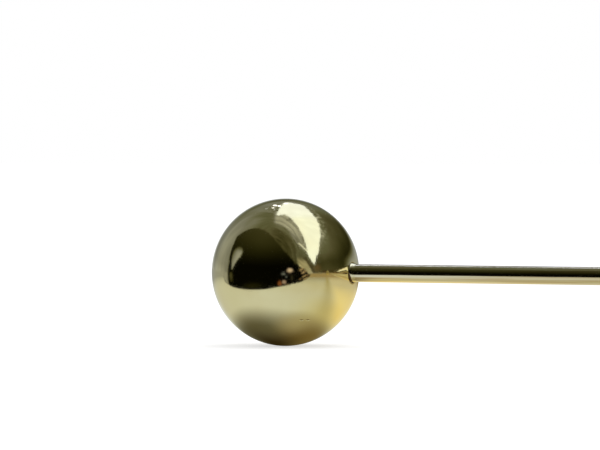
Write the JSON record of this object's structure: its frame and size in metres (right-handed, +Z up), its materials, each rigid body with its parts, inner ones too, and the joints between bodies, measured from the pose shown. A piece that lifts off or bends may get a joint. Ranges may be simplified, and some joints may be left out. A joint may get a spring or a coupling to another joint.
{
  "type": "tie tack",
  "caption": "Polished hollow ball head on a long pointed wire stem, with a spring-loaded locking guard over the point, for pinning a tie.",
  "frame": {"origin": "on the stem's axis where it leaves the ball", "axes": "+X along the stem from the ball to the point, +Z up"},
  "size_m": [0.0696, 0.01, 0.01],
  "materials": {
    "polished_gold": "mirror-polished pale gold plate",
    "stem_gold": "polished pale gold plate with fine drawing lines",
    "guard_gold": "polished pale gold plate",
    "solder": "satin, slightly darkened",
    "brass_inside": "turned, unplated",
    "hard_steel": "ground",
    "spring_steel": "drawn wire"
  },
  "bodies": {
    "pin": {"ball_front_shell": "polished_gold", "ball_rear_shell": "polished_gold", "seam_braze": "solder", "stem_bush": "brass_inside", "stem": "stem_gold", "stem_solder": "solder"},
    "guard": {"guard_barrel": "guard_gold", "guard_cone": "hard_steel", "guard_rear_collar": "guard_gold"},
    "spring": {"guard_spring": "spring_steel"},
    "plunger": {"guard_ball_cage": "brass_inside", "guard_knob": "guard_gold"},
    "ball_1": {"lock_ball_1": "hard_steel"},
    "ball_2": {"lock_ball_2": "hard_steel"},
    "ball_3": {"lock_ball_3": "hard_steel"}
  },
  "joints": [
    {"name": "guard_slide", "type": "slide", "parent": "pin", "child": "guard", "axis": [1, 0, 0], "range_m": [-0.0024, 0.014]},
    {"name": "knob_turn", "type": "hinge", "parent": "guard", "child": "spring", "pos_m": [0.0474, 0, 0], "axis": [1, 0, 0], "continuous": true},
    {"name": "knob_pull", "type": "slide", "parent": "spring", "child": "plunger", "axis": [1, 0, 0], "range_m": [0, 0.001], "stiffness_N_per_m": 400, "springref_m": -0.001, "deforming": ["guard_spring"]},
    {"name": "ball_1_release", "type": "slide", "parent": "plunger", "child": "ball_1", "axis": [0, 0, 1], "range_m": [0, 0.00027]},
    {"name": "ball_2_release", "type": "slide", "parent": "plunger", "child": "ball_2", "axis": [0, -0.866, -0.5], "range_m": [0, 0.00027]},
    {"name": "ball_3_release", "type": "slide", "parent": "plunger", "child": "ball_3", "axis": [0, 0.866, -0.5], "range_m": [0, 0.00027]}
  ],
  "couplings": [
    {"joint": "ball_1_release", "follows": "knob_pull", "ratio": 0.26795},
    {"joint": "ball_2_release", "follows": "knob_pull", "ratio": 0.26795},
    {"joint": "ball_3_release", "follows": "knob_pull", "ratio": 0.26795}
  ]
}
